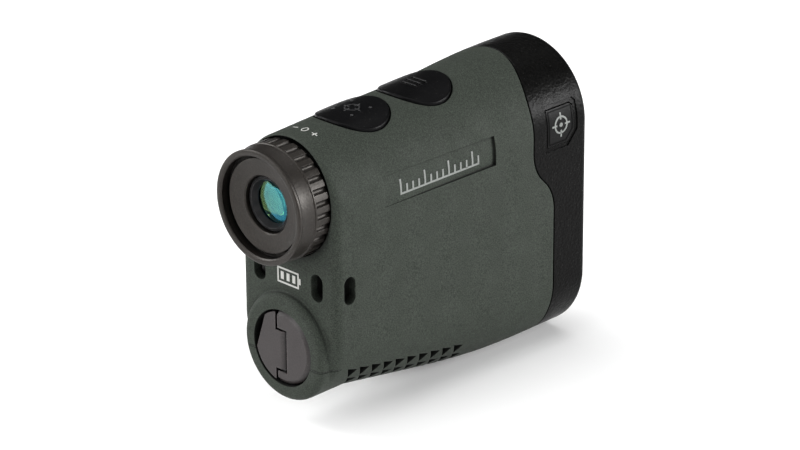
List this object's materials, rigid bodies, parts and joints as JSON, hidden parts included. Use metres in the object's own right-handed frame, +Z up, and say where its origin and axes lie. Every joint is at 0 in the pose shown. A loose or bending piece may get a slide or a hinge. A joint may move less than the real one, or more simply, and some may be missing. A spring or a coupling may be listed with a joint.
{
  "type": "laser rangefinder",
  "caption": "Compact hand-held laser rangefinder: turning eyecup, two top buttons, battery cap with a flip-up lever, round lenses in a front bezel.",
  "frame": {"origin": "centre of the underside of the bounding box, below the optical axis", "axes": "+Z up, +Y along the line of sight from the eyepiece to the lenses, +X to the user's right"},
  "size_m": [0.0356, 0.0915, 0.0742],
  "materials": {
    "armour": "fine matte",
    "black_plastic": "satin, finely pebbled",
    "inner_plastic": "matte",
    "black_rubber": "satin",
    "cap_plastic": "satin",
    "button_rubber": "satin",
    "badge_metal": "satin",
    "black_metal": "matte black anodised",
    "coated_glass": "coated",
    "clear_glass": "polished",
    "steel": "brushed",
    "nickel": "plated",
    "brass": "plain",
    "battery_wrap": "printed wrap without lettering",
    "board": "solder mask",
    "chip": "moulded",
    "seal_rubber": "matte",
    "film": "amber film"
  },
  "bodies": {
    "root": {"armour": "armour", "badge_left": "badge_metal", "badge_right": "badge_metal", "battery": "battery_wrap", "battery_contact": "brass", "battery_spring": "nickel", "battery_tube": "inner_plastic", "bezel_screws": "steel", "board_chips": "chip", "button_board": "board", "button_seals": "seal_rubber", "chassis": "inner_plastic", "diopter_key": "steel", "display_module": "black_metal", "dome_switches": "nickel", "emitter_cell": "black_metal", "emitter_lens": "coated_glass", "emitter_ring": "black_metal", "erecting_prism": "clear_glass", "eyepiece_seal": "seal_rubber", "eyepiece_tube": "black_metal", "front_bezel": "black_plastic", "laser_diode": "brass", "laser_mount": "black_metal", "lens_gaskets": "seal_rubber", "main_board": "board", "objective_cell": "black_metal", "objective_doublet": "clear_glass", "objective_lens": "coated_glass", "objective_ring": "black_metal", "prism_box": "black_metal", "receiver_board": "board", "receiver_diode": "nickel", "ribbon_cable": "film", "roof_prism": "clear_glass"},
    "ocular": {"ocular_cell": "black_metal", "eye_lens_rear": "coated_glass", "eye_lens_front": "clear_glass", "eye_lens_ring": "black_metal", "field_stop": "black_metal"},
    "diopter": {"diopter_ring": "black_rubber", "eyecup": "black_rubber"},
    "measure": {"measure_button": "button_rubber"},
    "menu": {"menu_button": "button_rubber"},
    "cap_seal": {"cap_seal": "seal_rubber"},
    "cap": {"battery_cap": "cap_plastic", "lever_pin": "steel", "cap_contact": "nickel"},
    "lever": {"cap_lever": "cap_plastic"}
  },
  "joints": [
    {"name": "ocular_slide", "type": "slide", "parent": "root", "child": "ocular", "axis": [0, 1, 0], "range_m": [-0.0008, 0.0008]},
    {"name": "diopter_turn", "type": "hinge", "parent": "ocular", "child": "diopter", "pos_m": [0, -0.0385, 0.0565], "axis": [0, 1, 0], "range_deg": [-90, 90]},
    {"name": "measure_press", "type": "slide", "parent": "root", "child": "measure", "axis": [0, 0, -1], "range_m": [0, 0.0006], "stiffness_N_per_m": 1500, "springref_m": -0.0003},
    {"name": "menu_press", "type": "slide", "parent": "root", "child": "menu", "axis": [0, 0, -1], "range_m": [0, 0.0006], "stiffness_N_per_m": 1500, "springref_m": -0.0003},
    {"name": "cap_slide", "type": "slide", "parent": "root", "child": "cap_seal", "axis": [0, -1, 0], "range_m": [0, 0.003]},
    {"name": "cap_turn", "type": "hinge", "parent": "cap_seal", "child": "cap", "pos_m": [0, -0.036, 0.0195], "axis": [0, -1, 0], "range_deg": [0, 720]},
    {"name": "lever_flip", "type": "hinge", "parent": "cap", "child": "lever", "pos_m": [-0.00075, -0.03735, 0.0195], "axis": [0, 0, 1], "range_deg": [0, 86]}
  ],
  "couplings": [
    {"joint": "diopter_turn", "follows": "ocular_slide", "rad_per_m": 1961.5},
    {"joint": "cap_turn", "follows": "cap_slide", "rad_per_m": 4184.6}
  ]
}
